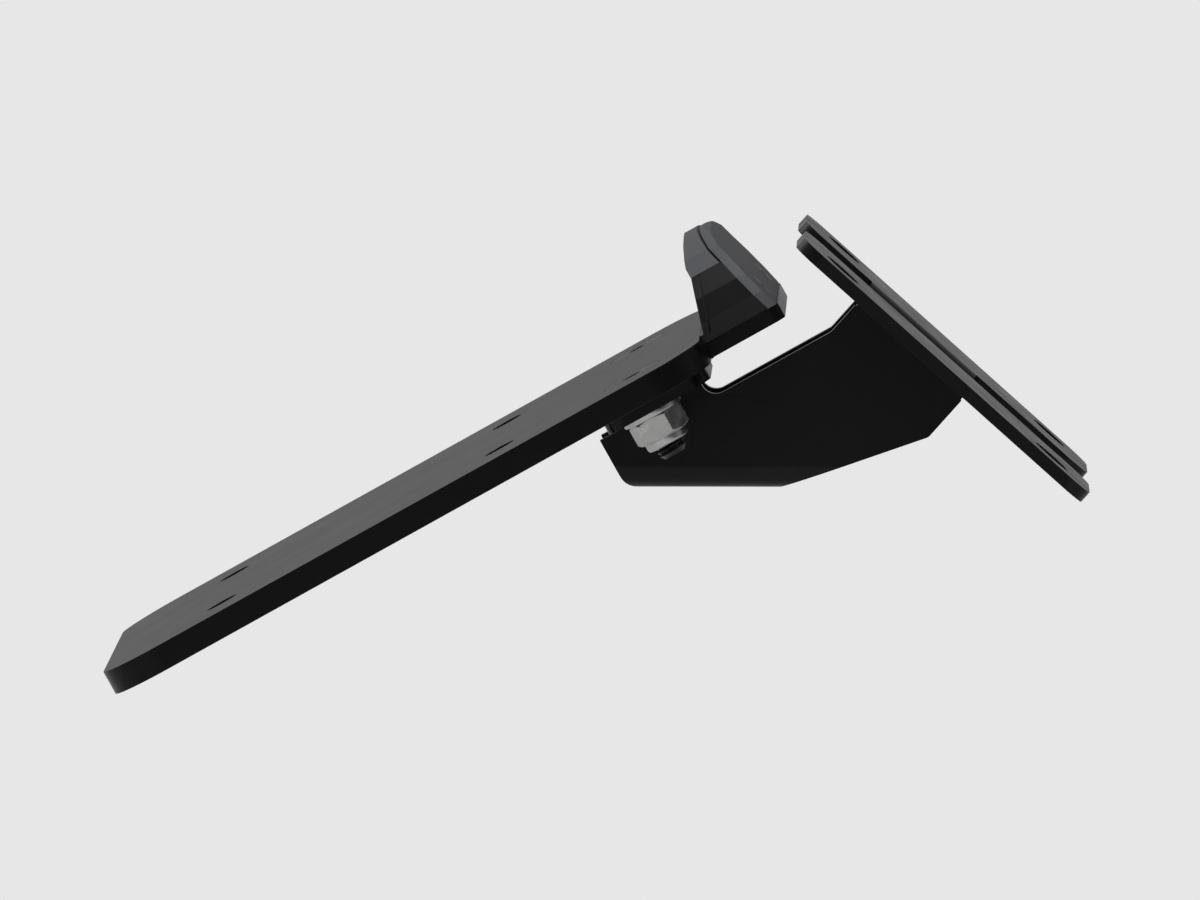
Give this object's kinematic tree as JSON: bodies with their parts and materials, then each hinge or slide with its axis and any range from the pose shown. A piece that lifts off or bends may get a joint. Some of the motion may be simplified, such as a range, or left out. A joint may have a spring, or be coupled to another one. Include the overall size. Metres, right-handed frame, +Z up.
{
  "type": "motorcycle tail tidy",
  "caption": "Tail tidy: folded sheet bracket that bolts under a motorcycle's tail and carries a flat number plate holder and a faceted number plate lamp.",
  "frame": {"origin": "middle of the four tail bolt holes, on the top faces of the bracket's ears", "axes": "+X towards the front of the motorcycle, +Y to its left, +Z up"},
  "size_m": [0.1547, 0.084, 0.0716],
  "materials": {
    "black_powder_coat": "fine black powder coat on steel sheet",
    "black_anodised": "satin black anodised",
    "black_steel": "black oxide",
    "zinc_steel": "bright zinc plate",
    "nylon": "natural nylon",
    "black_plastic": "moulded, fine grain",
    "grey_anodised": "satin dark grey anodised",
    "clear_lens": "clear moulded plastic",
    "rubber": "matt",
    "circuit_board": "white solder mask",
    "led": "phosphor in a white case",
    "chip": "moulded"
  },
  "bodies": {
    "root": {"mount_bracket": "black_powder_coat", "plate_holder": "black_anodised", "holder_bolts": "black_steel", "holder_washers": "zinc_steel", "holder_nuts": "zinc_steel", "nut_inserts": "nylon", "light_body": "black_plastic", "light_crown": "grey_anodised", "light_front_plate": "grey_anodised", "light_lens": "clear_lens", "light_gasket": "rubber", "light_circuit_board": "circuit_board", "light_leds": "led", "light_resistors": "chip", "light_diode": "chip", "lens_screws": "black_steel", "board_screws": "zinc_steel", "front_plate_screws": "black_steel", "light_mount_screws": "black_steel", "cable_grommet": "rubber"}
  },
  "joints": []
}
